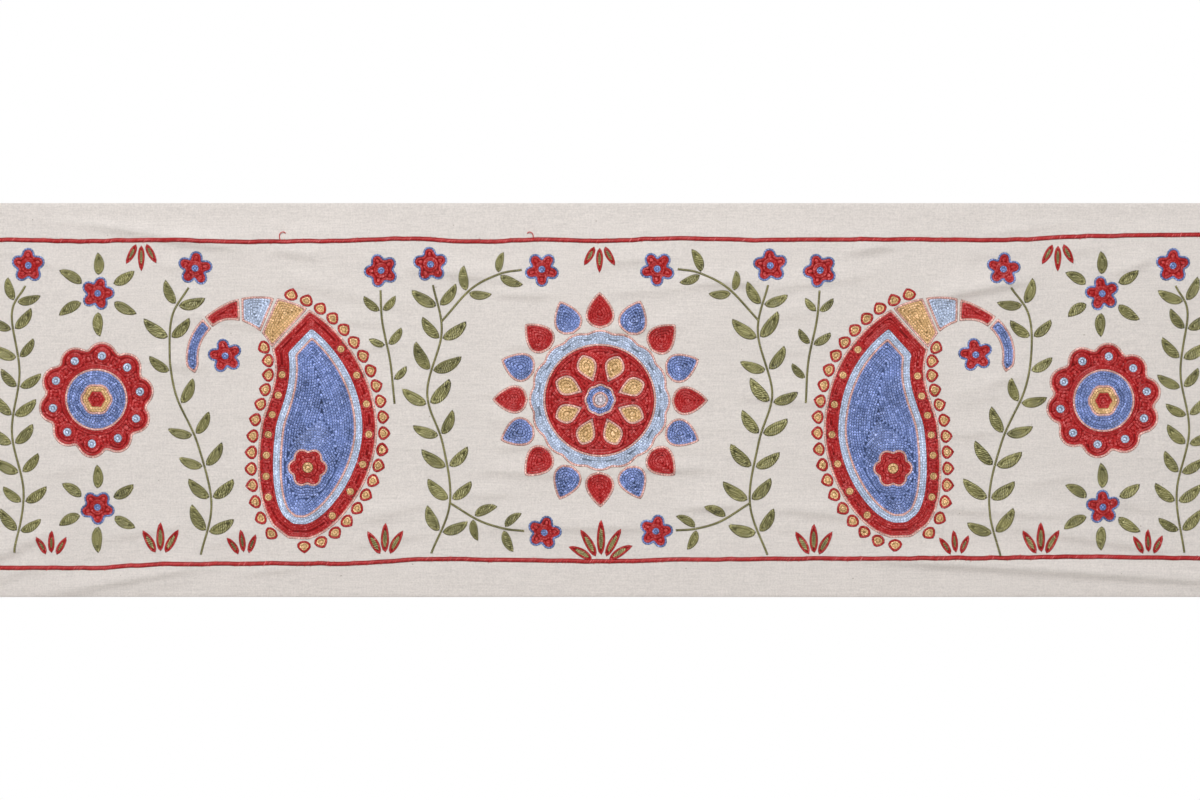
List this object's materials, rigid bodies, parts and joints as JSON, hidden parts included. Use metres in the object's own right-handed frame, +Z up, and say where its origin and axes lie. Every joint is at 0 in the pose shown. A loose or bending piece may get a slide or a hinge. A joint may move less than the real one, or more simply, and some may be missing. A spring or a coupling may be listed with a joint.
{
  "type": "suzani wall hanging",
  "caption": "Long shallow cotton wall hanging, hemmed on all sides and embroidered in coloured chain stitch, hung by its top edge.",
  "frame": {"origin": "middle of the top edge, on the plane of the wall behind the cloth", "axes": "+X to the right along the cloth, +Y into the wall, +Z up; the embroidered face looks to -Y"},
  "size_m": [1.23, 0.0095, 0.394],
  "materials": {
    "cloth": "undyed plain-weave cotton with chain-stitch embroidery"
  },
  "bodies": {
    "root": {"cloth": "cloth"}
  },
  "joints": []
}
